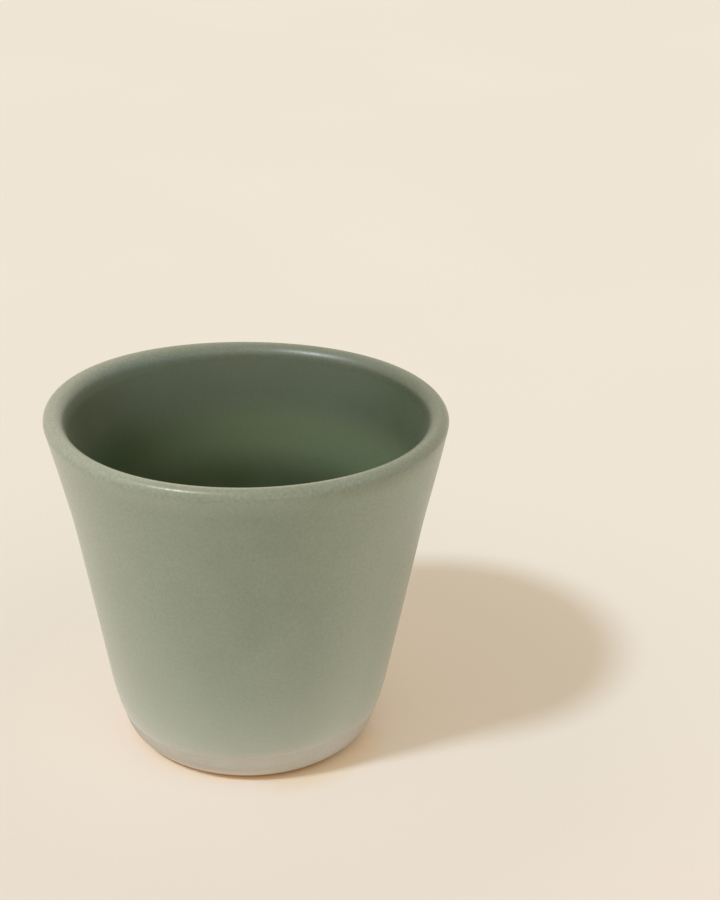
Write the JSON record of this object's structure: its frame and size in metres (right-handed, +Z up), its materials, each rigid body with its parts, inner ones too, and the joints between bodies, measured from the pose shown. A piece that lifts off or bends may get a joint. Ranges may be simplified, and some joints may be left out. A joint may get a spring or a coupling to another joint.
{
  "type": "espresso cup",
  "caption": "Handleless tapered espresso cup in turned stoneware, with a round lip, a satin green glaze outside, a darker liner glaze and a bare clay foot.",
  "frame": {"origin": "centre of the foot ring, on the surface that the cup stands on", "axes": "+Z up along the cup's axis, out of the mouth; X and Y are alike, and -Y faces the picture's camera"},
  "size_m": [0.07, 0.07, 0.0624],
  "materials": {
    "stoneware": "bare fired clay, fine grained and matt",
    "satin_glaze": "satin grey-green glaze with fine dark speckle",
    "liner_glaze": "deeper green satin glaze"
  },
  "bodies": {
    "root": {"clay_body": "stoneware", "outside_glaze": "satin_glaze", "liner_glaze": "liner_glaze"}
  },
  "joints": []
}
